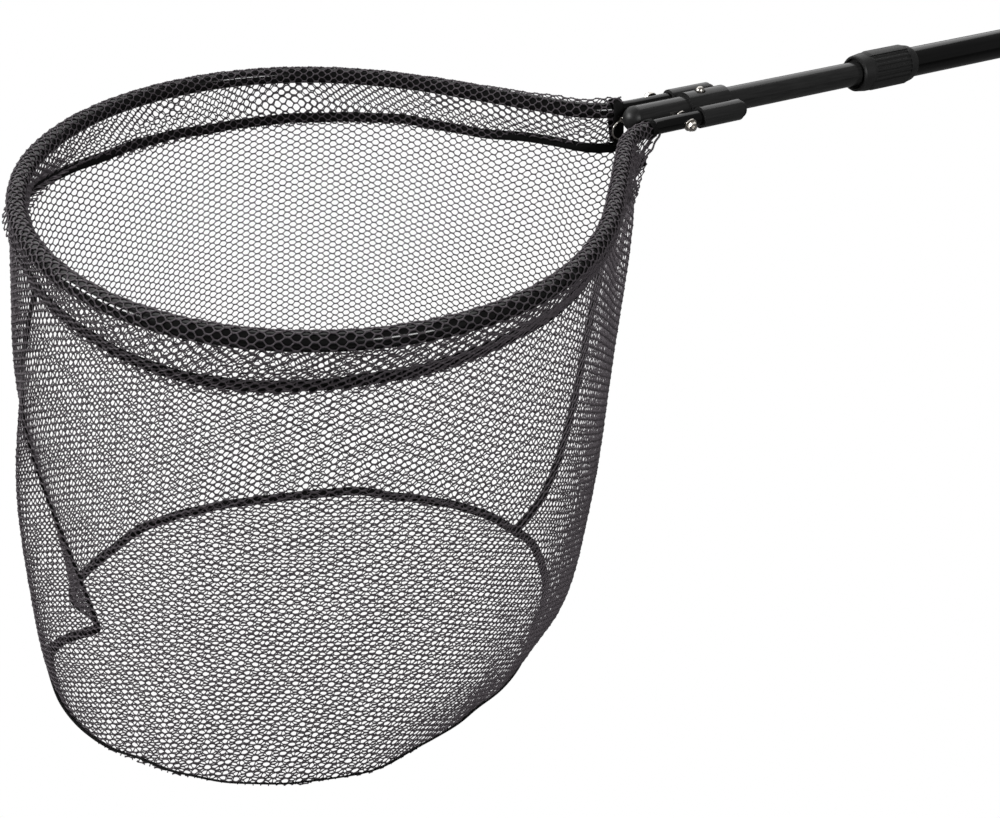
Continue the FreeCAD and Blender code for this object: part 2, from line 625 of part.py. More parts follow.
MOUTH = polar(hoop_wire(dim("sleeve_start") - 2).discretize(Number=SAMPLES)
              + [V(dim("front_plane") - dim("throat_front"), 0, 0)])
BELLY = egg(dim("bag_middle"), dim("belly_front"), dim("belly_back"), dim("belly_half_width"),
            (dim("belly_power"), dim("belly_power")), dim("belly_skew"))
FLOOR = egg(dim("floor_widest"), dim("floor_front"), dim("floor_back"), dim("floor_half_width"),
            (dim("front_power"), dim("back_power")), dim("floor_skew"))


def slack(angle, share):
    """How far the loose netting beside the throat stands out, at a share of the way down the wall."""
    from_throat = min(angle, TURN - angle)
    across = (from_throat - math.radians(dim("slack_angle"))) / math.radians(dim("slack_width"))
    rise, fall = 0.42, 4.1
    top = rise / (rise + fall)
    down = (share / top) ** rise * ((1 - share) / (1 - top)) ** fall
    return dim("slack_size") * math.exp(-across ** 2) * down


def loop_points(depth, inset=0.0):
    """Points round the bag at a depth below the hoop axis, inset towards its inside.

    The bag starts as the hoop's own outline, swells into its belly and ends as the floor's outline.
    """
    share = min(1.0, max(0.0, (depth - dim("band_drop")) / (dim("bag_depth") - dim("band_drop"))))
    mouth_part, floor_part = (1 - share) ** dim("mouth_fade"), share ** dim("floor_fade")
    points = []
    for angle, mouth in MOUTH:
        belly = radius_on(BELLY, angle)
        radius = belly + (mouth - belly) * mouth_part + (radius_on(FLOOR, angle) - belly) * floor_part
        radius += slack(angle, share)
        points.append(V(BAG_X + radius * math.cos(angle), radius * math.sin(angle), -depth))
    count = len(points)
    moved = []
    for i, point in enumerate(points):
        run = points[(i + 1) % count] - points[i - 1]
        inward = V(-run.y, run.x, 0).normalize()
        moved.append(point + inward * inset)
    return moved


def loop_wire(depth, inset=0.0):
    curve = Part.BSplineCurve()
    curve.interpolate(loop_points(depth, inset), PeriodicFlag=True)
    return Part.Wire(curve.toShape())


def skirt(depths, inset, thick):
    """A closed band of cloth between depths: an outer loft less an inner one."""
    outside = Part.makeLoft([loop_wire(depth, inset) for depth in depths], True, True)
    inside = Part.makeLoft([loop_wire(depth, inset + thick) for depth in depths], True, True)
    return outside.cut(inside)


def block(low, high):
    """A box between two corners."""
    size = high - low
    return Part.makeBox(size.x, size.y, size.z, low)


def edge_tapes(gap):
    """A tape bound round each end of the sleeve. The far one has a tail down the edge of the band."""
    slim, start = dim("tape_thick"), dim("front_plane") - dim("sleeve_start") - gap
    seam_top, sleeve = dim("band_drop"), dim("sleeve_od") / 2
    wire = hoop_wire(dim("sleeve_start"))
    zone = block(V(start - dim("edge_width"), 1, -seam_top), V(start, dim("arm_spacing"), 2 * sleeve))
    wrap = pipe(wire, sleeve + gap + slim).cut(pipe(wire, sleeve + gap)).common(zone)
    tail = skirt([sleeve + gap, seam_top - gap], dim("net_thick") + gap, slim).common(zone)
    far = wrap.fuse(tail).removeSplitter()
    short = block(V(start - dim("near_edge_width"), 1, -2 * sleeve), V(start, dim("arm_spacing"), 2 * sleeve))
    near = wrap.common(short).mirror(V(), V(0, 1, 0))
    feature("throat_edge_tape", Part.makeCompound([far, near]))
    room = pipe(wire, sleeve + 2 * gap + slim)
    reach = block(V(start - dim("edge_width") - gap, -dim("arm_spacing"), -seam_top),
                  V(start + dim("edge_width"), dim("arm_spacing"), 2 * sleeve))
    return room.common(reach)


def bag():
    thick, wide, slim = dim("net_thick"), dim("tape_width"), dim("tape_thick")
    gap = 0.2
    band_top = dim("sleeve_od") / 2 + gap
    seam_top, floor = dim("band_drop"), dim("bag_depth")
    wall_top, wall_low, tape_low = seam_top + wide + gap, floor - 4, floor - dim("floor_tape_width") / 2
    levels = [wall_top + (tape_low - wall_top) * step / 6 for step in range(7)]
    half_throat = dim("throat_width") / 2
    throat = block(V(BAG_X + dim("belly_front") - wide, -half_throat, -floor), V(0, half_throat, floor))
    band = skirt([band_top, seam_top - gap], 0.0, thick)
    feature("netting_band", band.cut(throat).cut(edge_tapes(gap)))
    feature("seam_tape_ring", skirt([seam_top, seam_top + wide], -0.6, slim + 0.6))
    feature("netting_wall", skirt(levels[:-1] + [wall_low], 0.0, thick))
    feature("floor_seam_tape", skirt([tape_low + gap, 2 * floor - tape_low], -slim - gap, slim))
    feature("netting_floor", Part.Face(loop_wire(floor, gap)).extrude(V(0, 0, -thick)))
    lining = skirt(levels, -slim - gap, slim)
    for label, low, high in (("handle_side_seam_tape", BAG_X, 0), ("far_end_seam_tape", 2 * BAG_X, BAG_X)):
        zone = block(V(low, -wide / 2, -floor), V(high, wide / 2, 0))
        feature(label, lining.common(zone))


# ---------------------------------------------------------------- build, check, write
outer_handle()
twist_lock()
collar()
inner_handle()
yoke()
snap_button()
hoop()
arm_hardware()
pivot, ring_middle = throat_rings()
bag()
doc.recompute()

for item in doc.Objects:
    bad = [word for word in item.State if word in ("Invalid", "Error")]
    assert not bad, f"{item.Label}: {item.State}"
for label, item in nodes.items():
    shape = item.Shape
    assert not shape.isNull() and shape.isValid(), f"{label} has no valid shape"
    assert shape.Volume > 0, f"{label} has no volume"
    shape.exportStep(f"parts/{label}.step")
    box = shape.BoundBox
    print(f"{label:24s} {len(shape.Solids):2d} solids {shape.Volume / 1000:9.3f} cm3  "
          f"x {box.XMin:8.2f} {box.XMax:8.2f}  y {box.YMin:8.2f} {box.YMax:8.2f}  "
          f"z {box.ZMin:8.2f} {box.ZMax:8.2f}")
print("throat ring pivot", [round(value, 3) for value in pivot],
      "middle", [round(value, 3) for value in ring_middle])
print(len(nodes), "nodes")
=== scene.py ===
"""A telescopic landing net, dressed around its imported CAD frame: knitted mesh, sewn tapes, finishes."""

import json
import math

import bpy
import numpy as np
from mathutils import Matrix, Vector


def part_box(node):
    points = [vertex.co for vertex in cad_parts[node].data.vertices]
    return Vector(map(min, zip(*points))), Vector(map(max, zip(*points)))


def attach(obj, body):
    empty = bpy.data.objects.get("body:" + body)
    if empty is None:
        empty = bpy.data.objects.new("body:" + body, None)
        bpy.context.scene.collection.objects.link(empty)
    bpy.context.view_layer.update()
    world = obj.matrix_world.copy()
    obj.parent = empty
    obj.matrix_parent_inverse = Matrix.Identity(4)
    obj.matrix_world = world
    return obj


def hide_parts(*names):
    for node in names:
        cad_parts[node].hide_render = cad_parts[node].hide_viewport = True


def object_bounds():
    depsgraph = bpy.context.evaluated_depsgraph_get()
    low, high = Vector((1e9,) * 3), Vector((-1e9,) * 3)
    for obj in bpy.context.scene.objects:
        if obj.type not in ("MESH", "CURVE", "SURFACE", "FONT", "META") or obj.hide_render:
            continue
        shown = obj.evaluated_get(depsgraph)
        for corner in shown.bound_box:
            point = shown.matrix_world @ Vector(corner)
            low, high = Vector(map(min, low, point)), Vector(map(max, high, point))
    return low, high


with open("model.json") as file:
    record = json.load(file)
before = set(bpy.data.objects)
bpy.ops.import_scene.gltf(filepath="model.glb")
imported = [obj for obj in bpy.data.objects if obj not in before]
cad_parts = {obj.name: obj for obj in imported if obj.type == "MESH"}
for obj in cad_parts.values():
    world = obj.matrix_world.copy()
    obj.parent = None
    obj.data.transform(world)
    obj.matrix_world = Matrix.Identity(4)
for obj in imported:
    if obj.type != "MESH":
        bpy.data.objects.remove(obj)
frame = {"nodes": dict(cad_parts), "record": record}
CAD_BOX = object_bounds()

MM = 0.001
TAU = 2 * math.pi
rng = np.random.default_rng(7)

# ---------------------------------------------------------------- sizes, in metres
FRONT_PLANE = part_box("yoke")[0][0] - 4.5 * MM  # station zero: the hoop is set out from here
HOOP_BODY = "inner_handle"
ARM_SPACING = 39.6 * MM
ARM_STRAIGHT = 31.6 * MM
BEND = (65 * MM, 50.6)  # the hoop's arcs: each a radius and an angle in degrees
LEG = 100 * MM  # the straight run between the bend and the shoulder
SHOULDER = (273 * MM, 18.3)
SIDE = (189.2 * MM, 98.9)
TUBE_RADIUS = 6.0 * MM

CELL_ALONG = 4.9 * MM  # one column of cells, round the bag
CELL_DOWN = 6.1 * MM  # height of one cell
BAR_SHARE = 0.52  # how much of a column the thick knitted bar takes
YARN = 0.46 * MM  # radius of a single yarn
BAR = 0.63 * MM  # radius of the doubled yarn in a bar
HEM_CORD = 0.8 * MM  # radius of the hem's cord
KNOT_CORD = 0.7 * MM  # radius of the yarns in the knot at its foot
HEM_POINTS = 24
KNOT_YARNS = 18
KNOT_SPREAD = 1.3 * MM
GUSSET_CELLS = 6  # cells each way in the throat's loose corner
UNEVEN = 0.16 * MM  # how far knots stray from their even places
SHORTEST_YARN = 0.4 * MM
KNOT_SWELL = 1.25  # how much thicker a yarn is at its ends, and thinner at its middle
YARN_WAIST = 0.9

WALL_GRID = (90, 700)  # rows down and columns round in the wall's surface
GUSSET_GRID = (24, 16)  # points down and across in the throat's loose corner
RING_POINTS = 900  # points along the rim's surface, and round a ring of tape
RIM_POINTS = 90  # points across the rim's surface
LINE_POINTS = 160  # points down a wall tape
WEAVE_SCALE = 900.0  # how much a tape's coordinates are enlarged for the woven ribs

TAPE_TOP = 27 * MM  # the seam tape's upper edge, below the hoop's centre line
TAPE_WIDE = 8 * MM
TAPE_THICK = 1.2 * MM
EDGE_WIDE = 8.4 * MM
BAG_DEPTH = 395 * MM
THROAT = FRONT_PLANE - 43 * MM
SLEEVE_START = 42 * MM
NEAR_START = 38 * MM  # on the near arm the mesh starts a little earlier
HEM_SLANT = 15 * MM  # how far its edge falls back on its way down to the seam
HEM_REACH = 0.34  # the hem cord follows this share of that edge, from the seam up to the arm
TAIL_SWING = 4 * MM  # the far edge tape's tails swing this far towards the yoke
NEAR_EDGE_WIDE = 5 * MM
FLOOR_TAPE_WIDE = 8 * MM
FLOOR_TAPE_TILT = math.radians(42)  # the floor's binding is rolled inwards from upright by this

# Three outlines shape the bag: the hoop's own, the belly's and the floor's.
BAG_X = FRONT_PLANE - 295 * MM
BAG_OFFSET = 10.7 * MM
BELLY = {"middle": BAG_X, "reach": (225 * MM, 250 * MM), "half_width": 210 * MM,
         "powers": (1.62, 1.62), "skew": 0.064}
FLOOR = {"middle": FRONT_PLANE - 363.6 * MM, "reach": (251.2 * MM, 174.2 * MM), "half_width": 175.4 * MM,
         "powers": (1.76, 1.89), "skew": 0.083}
MOUTH_FADE = 3.06  # how fast the hoop's outline gives way to the belly's on the way down
FLOOR_FADE = 3.9  # how late the floor's outline takes over from the belly's
# Loose cloth stands out in six places. Each has a size, an angle round the bag and a spread, both in
# degrees, and how fast it rises and fades on its way down.
SLACK = ((12 * MM, 14.9, 7.8, 0.42, 4.1),  # one side of the throat
         (12 * MM, 345.1, 7.8, 0.42, 4.1),  # the throat's other side
         (17 * MM, 141.8, 18, 0.2, 3.8),  # the far shoulder, high up
         (8.5 * MM, 321, 14, 7, 0.9),  # the handle side, just above the floor
         (3.5 * MM, 174, 8, 8, 1.0),  # the far end, just above the floor
         (3 * MM, 172, 10, 3, 4.5))  # the far end, above the middle
HANDLE_SWING = (math.radians(7), 10)  # how far the handle-side tape swings at its foot, and how late
FAR_TAPE_WIDE = 6 * MM
# The seam under the hoop isn't level: where it hangs lower or higher, by how much, and its spread.
SEAM_DROPS = ((6.5 * MM, 96, 42), (5 * MM, 218, 15), (-13 * MM, 305, 45))
FLOOR_SWELLS = ((5.5 * MM, 249, 13), (8 * MM, 296, 19))  # where the floor's edge is pulled outwards
FOLD_ANGLE = math.radians(158.5)  # where the fold in the far corner meets the floor
FOLD_WIDTHS = (math.radians(7.5), math.radians(3))  # its two flanks, the far one first
FOLD_DEPTH = 34 * MM
RIPPLE_ONSET = 8  # the ripples reach their full height one eighth of the way down
FOLD_LEAN = 0.7  # below 1, the fold leans aside mostly in its upper part
FOLD_GROWTH = 1.2  # how the fold deepens on its way down
SEAM_FADE = 4  # how fast the uneven seam evens out below it
FLOOR_CUT = (FRONT_PLANE - 560 * MM, -200 * MM)  # where the floor's mesh starts before it is cut out
FLOOR_CUT_SIZE = (500 * MM, 400 * MM)
FLOOR_SAG = 7 * MM  # how far the floor's middle hangs
FLOOR_WAVES = 1.3 * MM  # height of the folds in it


# ---------------------------------------------------------------- lines and surfaces
def travelled(points):
    """Distance along a polyline, up to each of its points."""
    steps = np.linalg.norm(np.diff(points, axis=0), axis=1)
    return np.concatenate([[0.0], np.cumsum(steps)])


def at_distance(points, distances):
    """Points at these distances along a polyline."""
    along = travelled(points)
    return np.stack([np.interp(distances, along, points[:, k]) for k in range(3)], axis=-1)


def arc_points(at, heading, radius, turn):
    """A level arc from at, turning left by turn degrees, with about one point for each degree."""
    hand = math.copysign(1.0, turn)
    centre = at + radius * hand * np.array([-math.sin(heading), math.cos(heading), 0])
    count = max(2, int(abs(turn)) + 1)
    angles = np.radians(np.linspace(0, turn, count))[1:]
    spoke = at - centre
    turned = [[spoke[0] * math.cos(a) - spoke[1] * math.sin(a),
               spoke[0] * math.sin(a) + spoke[1] * math.cos(a), 0] for a in angles]
    return centre + np.array(turned), heading + math.radians(turn)


def hoop_line():
    """The hoop's centre line from the yoke, up the far arm, round, and back down the near arm."""
    heading = math.pi
    arm_side = ARM_SPACING / 2
    points = [np.array([[FRONT_PLANE, arm_side, 0], [FRONT_PLANE - ARM_STRAIGHT, arm_side, 0]])]
    bend, heading = arc_points(points[-1][-1], heading, BEND[0], -BEND[1])
    points.append(bend)
    ahead = [math.cos(heading), math.sin(heading), 0]
    points.append(bend[-1] + LEG * np.outer(np.linspace(0, 1, 30)[1:], ahead))
    for radius, angle in (SHOULDER, SIDE):
        curve, heading = arc_points(points[-1][-1], heading, radius, angle)
        points.append(curve)
    closing = 270 - math.degrees(heading)
    end_radius = -points[-1][-1][1] / math.cos(heading)
    curve, _ = arc_points(points[-1][-1], heading, end_radius, closing)
    points.append(curve)
    far = np.concatenate(points)
    near = far[::-1][1:] * [1, -1, 1]
    return np.concatenate([far, near])


HOOP = hoop_line()
HOOP_LENGTH = travelled(HOOP)[-1]


def polar(points):
    """Angles round the bag's axis, rising, and the distances from it."""
    angle = np.mod(np.arctan2(points[:, 1], points[:, 0] - BAG_X), TAU)
    order = np.argsort(angle)
    return angle[order], np.hypot(points[:, 1], points[:, 0] - BAG_X)[order]


def mouth_points():
    """The bag's mouth: the hoop where cloth is on it, closed by the throat."""
    cut = SLEEVE_START - 2 * MM
    loop = at_distance(HOOP, np.arange(cut, HOOP_LENGTH - cut, 2 * MM))
    return np.concatenate([loop, [[THROAT, 0, 0]]])


def egg_points(middle, reach, half_width, powers, skew):
    """A leaning egg: two half superellipses that meet where it is widest."""
    angle = np.radians(np.arange(720) / 2 + 0.25)
    front = np.cos(angle) > 0
    power = np.where(front, *powers)
    radius = ((abs(np.cos(angle)) / np.where(front, *reach)) ** power
              + (abs(np.sin(angle)) / half_width) ** power) ** (-1 / power)
    side = radius * np.sin(angle)
    return np.stack([middle + radius * np.cos(angle) - skew * side, BAG_OFFSET + side, 0 * angle], axis=1)


def softened(line, reach=14):
    """An outline with its tight places eased, by averaging each radius with its neighbours'."""
    angle, radius = line
    shifts = [np.roll(radius, k) for k in range(-reach, reach + 1)]
    return angle, np.mean(shifts, axis=0)


MOUTH_LINE = polar(mouth_points())
BELLY_LINE = softened(polar(egg_points(**BELLY)))
FLOOR_LINE = softened(polar(egg_points(**FLOOR)))


def fold_line(share):
    """The fold's angle round the bag: it starts at the far end and leans aside on its way down."""
    return math.pi - (math.pi - FOLD_ANGLE) * share ** FOLD_LEAN


def fold(angle, share):
    """How far the wall is drawn in by the fold that runs down its far corner."""
    across = angle - fold_line(share)
    far, near = FOLD_WIDTHS
    spread = np.where(across < 0, far, near * (2 - share))
    return FOLD_DEPTH * np.exp(-(across / spread) ** 2) * share ** FOLD_GROWTH


def slack(angle, share):
    """How far the loose mesh stands out."""
    total = 0
    for size, place, spread, rise, fall in SLACK:
        top = rise / (rise + fall)
        down = (share / top) ** rise * ((1 - share) / (1 - top)) ** fall
        across = (np.degrees(angle) - place) / spread
        total = total + size * np.exp(-across ** 2) * down
    return total


def swells(angle, places):
    """Rounded swells round the bag, added up. Each has a size, an angle in degrees and a spread."""
    return sum(size * np.exp(-((np.degrees(angle) - place) / spread) ** 2)
               for size, place, spread in places)


def seam_drop(angle):
    """How far below its mean level the seam under the hoop hangs, by the angle round the bag."""
    return swells(angle, SEAM_DROPS)


def ripple(angle, share):
    """Gentle waves in the cloth, stronger towards the floor."""
    slow = np.sin(5 * angle + 1.3 + 2.1 * share) + 0.7 * np.sin(9 * angle + 0.4 - 3 * share)
    quick = np.sin(17 * angle + 2.2) + 0.6 * np.sin(26 * angle + 0.9 + share)
    return (0.5 + 0.5 * share) * MM * slow + 0.6 * MM * share ** 2 * quick - 0.8 * MM


def radius_at(angle, depth):
    """Distance of the bag's wall from its axis, at an angle and a depth below the hoop."""
    share = np.clip((depth - TAPE_TOP) / (BAG_DEPTH - TAPE_TOP), 0, 1)
    mouth = np.interp(angle, *MOUTH_LINE, period=TAU)
    belly = np.interp(angle, *BELLY_LINE, period=TAU)
    low = np.interp(angle, *FLOOR_LINE, period=TAU) + swells(angle, FLOOR_SWELLS)
    radius = belly + (mouth - belly) * (1 - share) ** MOUTH_FADE + (low - belly) * share ** FLOOR_FADE
    waves = ripple(angle, share) * np.minimum(1, share * RIPPLE_ONSET)
    return radius + slack(angle, share) + waves - fold(angle, share)


def section(depth, columns):
    """A ring of the wall at a depth, as evenly spaced points that start at the handle side."""
    angle = np.linspace(0, TAU, 2 * columns + 1)
    radius = radius_at(angle, depth)
    share = np.clip((depth - TAPE_TOP) / (BAG_DEPTH - TAPE_TOP), 0, 1)
    level = -depth - seam_drop(angle) * (1 - share) ** SEAM_FADE
    ring = np.stack([BAG_X + radius * np.cos(angle), radius * np.sin(angle), level], axis=1)
    return at_distance(ring, np.linspace(0, travelled(ring)[-1], columns + 1))


class Sheet:
    """A surface from a grid of points, read at (u, v) from 0 to 1. It may close round in u."""

    def __init__(self, grid):
        self.grid = grid

    def at(self, u, v):
        """The surface's points at u across and v down."""
        rows, columns = self.grid.shape[0] - 1, self.grid.shape[1] - 1
        x, y = np.clip(u, 0, 1) * columns, np.clip(v, 0, 1) * rows
        i, j = np.minimum(x.astype(int), columns - 1), np.minimum(y.astype(int), rows - 1)
        fx, fy = (x - i)[..., None], (y - j)[..., None]
        low = self.grid[j, i] * (1 - fx) + self.grid[j, i + 1] * fx
        high = self.grid[j + 1, i] * (1 - fx) + self.grid[j + 1, i + 1] * fx
        return low * (1 - fy) + high * fy

    def size(self):
        """Mean length along u and along v."""
        across = np.linalg.norm(np.diff(self.grid, axis=1), axis=2).sum(axis=1).mean()
        down = np.linalg.norm(np.diff(self.grid, axis=0), axis=2).sum(axis=0).mean()
        return float(across), float(down)


def wall_sheet():
    """The bag's wall, from the seam under the hoop to the floor."""
    rows, columns = WALL_GRID
    depths = np.linspace(TAPE_TOP, BAG_DEPTH + 1 * MM, rows)
    return Sheet(np.array([section(depth, columns) for depth in depths]))


def rim_profile(hug, outside, inside):
    """Cloth folded over the hoop: up outside it from the seam tape, over it, and down inside it.

    Each point is (outwards, up) from the hoop's centre line. The cloth passes over the tube at
    the distance hug and ends a little outside and inside the seam tape.
    """
    drop = TAPE_TOP + TAPE_WIDE
    lean = math.asin(hug / drop)
    over = np.linspace(-lean, math.pi + lean, 40)
    arch = np.stack([hug * np.cos(over), hug * np.sin(over)], axis=1)
    profile = np.concatenate([[[outside, -drop]], arch, [[-inside, -drop]]])
    profile = np.column_stack([profile, np.zeros(len(profile))])
    return at_distance(profile, np.linspace(0, travelled(profile)[-1], RIM_POINTS))[:, :2]


def hoop_frame(distances):
    """Points on the hoop's centre line, and the level directions that point out of the hoop."""
    line = at_distance(HOOP, distances)
    run = at_distance(HOOP, distances + MM) - at_distance(HOOP, distances - MM)
    run /= np.linalg.norm(run, axis=1)[:, None]
    return line, np.stack([run[:, 1], -run[:, 0], 0 * run[:, 0]], axis=1)


def rim_sheet():
    """The cloth folded over the hoop. Its near edge is cut on a slant, from the arm back to the seam."""
    grid = []
    for out, up in rim_profile(TUBE_RADIUS + YARN + 0.1 * MM, outside=1.4 * MM, inside=1.8 * MM):
        low = max(0.0, (-up - TUBE_RADIUS) / (TAPE_TOP - TUBE_RADIUS))
        end = HOOP_LENGTH - NEAR_START - HEM_SLANT * low
        distance = np.linspace(SLEEVE_START, end, RING_POINTS)
        line, outward = hoop_frame(distance)
        angle = np.mod(np.arctan2(line[:, 1], line[:, 0] - BAG_X), TAU)
        flare = slack(angle, 0.5 * TAPE_WIDE / (BAG_DEPTH - TAPE_TOP))
        slow = 0.9 * np.sin(distance / (21 * MM) + 3 * out / MM)
        wave = (slow + 0.6 * np.sin(distance / (13 * MM) + 1)) * MM
        belly = 1.2 * MM if out > 0 else -0.6 * MM
        bowed = max(0.0, math.sin(math.pi * min(low, 1)))
        push = out + (belly + wave) * bowed + flare * low ** 1.5
        from_far_end = distance - SLEEVE_START
        rumple = 0.8 + 0.2 * np.sin(from_far_end / (7 * MM))
        loose = 3.4 * MM * np.exp(-(from_far_end / (75 * MM)) ** 2) * rumple
        lift = up + loose * max(0.0, up / TUBE_RADIUS) + seam_drop(angle) * min(0.0, up / TAPE_TOP)
        grid.append(line + outward * push[:, None] + lift[:, None] * [0, 0, 1.0])
    return Sheet(np.array(grid))


def gusset_sheet():
    """The loose corner of mesh between the near arm and the handle-side seam, under the handle."""
    start, _ = hoop_frame(np.array([HOOP_LENGTH - NEAR_START]))
    arm_top = start[0] + [-2 * MM, -1 * MM, -TUBE_RADIUS]
    arm_low = start[0] + [-16 * MM, 0, -TAPE_TOP]
    hem_top = start[0] + [1.5 * MM, 3.5 * MM, -TUBE_RADIUS - 2 * MM]
    hem_low = start[0] + [-10.5 * MM, 5 * MM, -TAPE_TOP]
    grid = []
    rows, columns = GUSSET_GRID
    for share in np.linspace(0, 1, rows):
        inner = arm_top + (arm_low - arm_top) * share
        hem = hem_top + (hem_low - hem_top) * share
        sag = 1.6 * MM * math.sin(math.pi * share)
        row = [inner + (hem - inner) * across + np.array([0.3, -1, 0]) * sag * math.sin(math.pi * across)
               for across in np.linspace(0, 1, columns)]
        grid.append(row)
    return Sheet(np.array(grid))


# ---------------------------------------------------------------- meshes
def mesh_object(name, points, faces, smooth=True):
    """A new piece in the scene from points and faces."""
    mesh = bpy.data.meshes.new(name)
    mesh.from_pydata(points, [], faces)
    if smooth:
        mesh.shade_smooth()
    mesh.update()
    thing = bpy.data.objects.new(name, mesh)
    bpy.context.scene.collection.objects.link(thing)
    return thing


def quad_mesh(name, points, quads):
    """A mesh from arrays of points and four-sided faces, built in one go."""
    mesh = bpy.data.meshes.new(name)
    mesh.vertices.add(len(points))
    mesh.vertices.foreach_set("co", np.ascontiguousarray(points, np.float32).ravel())
    mesh.loops.add(quads.size)
    mesh.loops.foreach_set("vertex_index", np.ascontiguousarray(quads, np.int32).ravel())
    mesh.polygons.add(len(quads))
    mesh.polygons.foreach_set("loop_start", np.arange(0, quads.size, 4, dtype=np.int32))
    mesh.update(calc_edges=True)
    mesh.shade_smooth()
    thing = bpy.data.objects.new(name, mesh)
    bpy.context.scene.collection.objects.link(thing)
    return thing


SIDES = 4


def strands(name, starts, ends, radii):
    """Yarns as open tubes: each runs from a start to an end and is as thick as its radius says.

    A yarn is a little thicker at its ends, where it meets the others in a knot.
    """
    run = ends - starts
    length = np.linalg.norm(run, axis=1)
    keep = length > SHORTEST_YARN
    starts, ends, run, length, radii = (a[keep] for a in (starts, ends, run, length, radii))
    run /= length[:, None]
    helper = np.where(abs(run[:, 2:3]) < 0.8, [[0.0, 0.0, 1.0]], [[1.0, 0.0, 0.0]])
    side = np.cross(run, helper)
    side /= np.linalg.norm(side, axis=1)[:, None]
    lift = np.cross(run, side)
    overlap = (0.35 * radii)[:, None] * run
    stations = ((starts - overlap, KNOT_SWELL), ((starts + ends) / 2, YARN_WAIST),
                (ends + overlap, KNOT_SWELL))
    rings = []
    for centre, swell in stations:
        for k in range(SIDES):
            angle = TAU * k / SIDES + math.pi / 4
            spoke = math.cos(angle) * side + math.sin(angle) * lift
            rings.append(centre + (radii * swell)[:, None] * spoke)
    points = np.stack(rings, axis=1).reshape(-1, 3)
    per_yarn = SIDES * len(stations)
    base = np.arange(len(starts))[:, None, None] * per_yarn
    quads = []
    for ring in range(len(stations) - 1):
        for k in range(SIDES):
            here, there = ring * SIDES + k, ring * SIDES + (k + 1) % SIDES
            quads.append([here, there, there + SIDES, here + SIDES])
    quads = (base + np.array(quads)[None]).reshape(-1, 4)
    return quad_mesh(name, points, quads)


def lattice(columns, rows, closed):
    """The knitted mesh's knots and yarns, in cells: (u, v) of each yarn's two ends, and if it is a bar.

    Cells are hexagons in staggered columns. A bar lies between one cell and the next down.
    """
    column, row = np.meshgrid(np.arange(columns), np.arange(rows + 1), indexing="ij")
    top = row + 0.5 * (column % 2)
    left, right = column - BAR_SHARE / 2, column + BAR_SHARE / 2
    bars = np.stack([left, top, right, top], axis=-1).reshape(-1, 4)
    last = columns if closed else columns - 1
    slants = []
    for step in (-0.5, 0.5):
        part = np.stack([right, top, left + 1, top + step], axis=-1)[:last]
        slants.append(part.reshape(-1, 4))
    slants = np.concatenate(slants)
    inside = (slants[:, 3] >= 0) & (slants[:, 3] <= rows + 0.5)
    ends = np.concatenate([bars, slants[inside]])
    is_bar = np.arange(len(ends)) < len(bars)
    return ends, is_bar


def shaken(points, amount):
    """Moves points that are the same place by the same small amount, whatever yarn they end."""
    keys = np.round(points / (0.02 * MM)).astype(np.int64)
    _, index = np.unique(keys, axis=0, return_inverse=True)
    index = index.reshape(-1)
    return points + rng.normal(0, amount, (index.max() + 1, 3))[index]


def knit(name, sheet, closed):
    """Knits the hexagonal mesh over a sheet."""
    across, down = sheet.size()
    columns = 2 * round(across / CELL_ALONG / 2)
    rows = round(down / CELL_DOWN)
    ends, is_bar = lattice(columns, rows, closed)
    u = ends[:, [0, 2]] / columns
    v = ends[:, [1, 3]] / (rows + 0.5)
    if closed:
        u = np.mod(u, 1.0)
    both = sheet.at(u, v)
    flat = shaken(both.reshape(-1, 3), UNEVEN).reshape(-1, 2, 3)
    radii = np.where(is_bar, BAR, YARN)
    return strands(name, flat[:, 0], flat[:, 1], radii)


def floor_height(x, y):
    """The floor sags a little under its own weight, with shallow folds."""
    along, across = (x - FLOOR["middle"]) / FLOOR["reach"][1], (y - BAG_OFFSET) / FLOOR["half_width"]
    inside = np.clip(1 - along ** 2 - across ** 2, 0, 1)
    folds = np.sin(38 * x + 21 * y) + 0.7 * np.sin(55 * y - 17 * x + 1)
    return -BAG_DEPTH - inside * FLOOR_SAG + folds * FLOOR_WAVES


def knit_gusset(name, sheet, rim):
    """The throat's loose corner, with its cord-like hem and the gathered knot at its foot.

    The same cord binds the rim cloth's near edge, outside the hoop.
    """
    ends, is_bar = lattice(GUSSET_CELLS, GUSSET_CELLS, False)
    both = sheet.at(ends[:, [0, 2]] / GUSSET_CELLS, ends[:, [1, 3]] / (GUSSET_CELLS + 0.5))
    at_edge = np.ones(HEM_POINTS)
    hem = sheet.at(at_edge, np.linspace(0, 1, HEM_POINTS))
    bound = rim.at(at_edge, np.linspace(0, HEM_REACH, HEM_POINTS))
    knot = hem[-1] + rng.normal(0, KNOT_SPREAD, (KNOT_YARNS, 2, 3))
    starts = np.concatenate([both[:, 0], hem[:-1], bound[:-1], knot[:, 0]])
    stops = np.concatenate([both[:, 1], hem[1:], bound[1:], knot[:, 1]])
    cords = 2 * (HEM_POINTS - 1)
    radii = np.concatenate([np.where(is_bar, BAR, YARN), np.full(cords, HEM_CORD),
                            np.full(KNOT_YARNS, KNOT_CORD)])
    return strands(name, starts, stops, radii)


